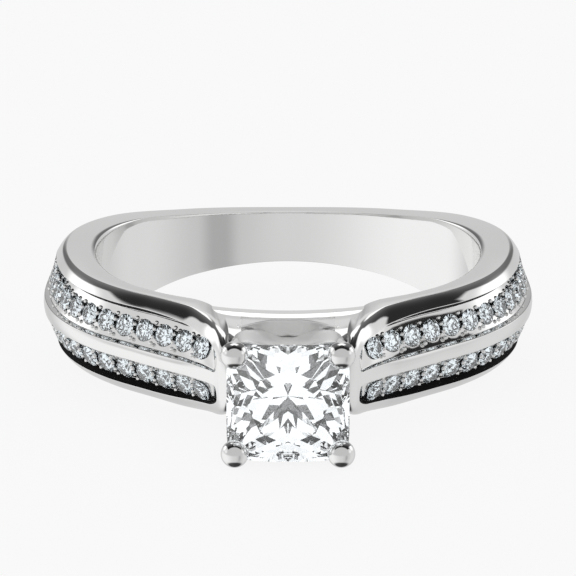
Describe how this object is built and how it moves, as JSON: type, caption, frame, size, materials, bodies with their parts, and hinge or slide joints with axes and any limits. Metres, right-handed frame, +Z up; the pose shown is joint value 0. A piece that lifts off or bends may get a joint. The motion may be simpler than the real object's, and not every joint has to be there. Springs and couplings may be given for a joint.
{
  "type": "side stone ring",
  "caption": "Finger ring with a square faceted main stone held in a four-claw head and two sunk channels of small round stones on each shoulder.",
  "frame": {"origin": "centre of the finger hole, halfway through the band's width", "axes": "+Z up, along the finger hole; the ring lies on its side; the main stone faces -Y and the band's back is at +Y; +X to the viewer's right when the stone is looked at"},
  "size_m": [0.021, 0.0245, 0.0054],
  "materials": {
    "polished_metal": "mirror-polished white precious metal",
    "main_stone": "clear, cut and polished",
    "side_stones": "clear, cut and polished"
  },
  "bodies": {
    "root": {"ring_metal": "polished_metal", "center_stone": "main_stone", "left_upper_stones": "side_stones", "left_lower_stones": "side_stones", "right_upper_stones": "side_stones", "right_lower_stones": "side_stones"}
  },
  "joints": []
}
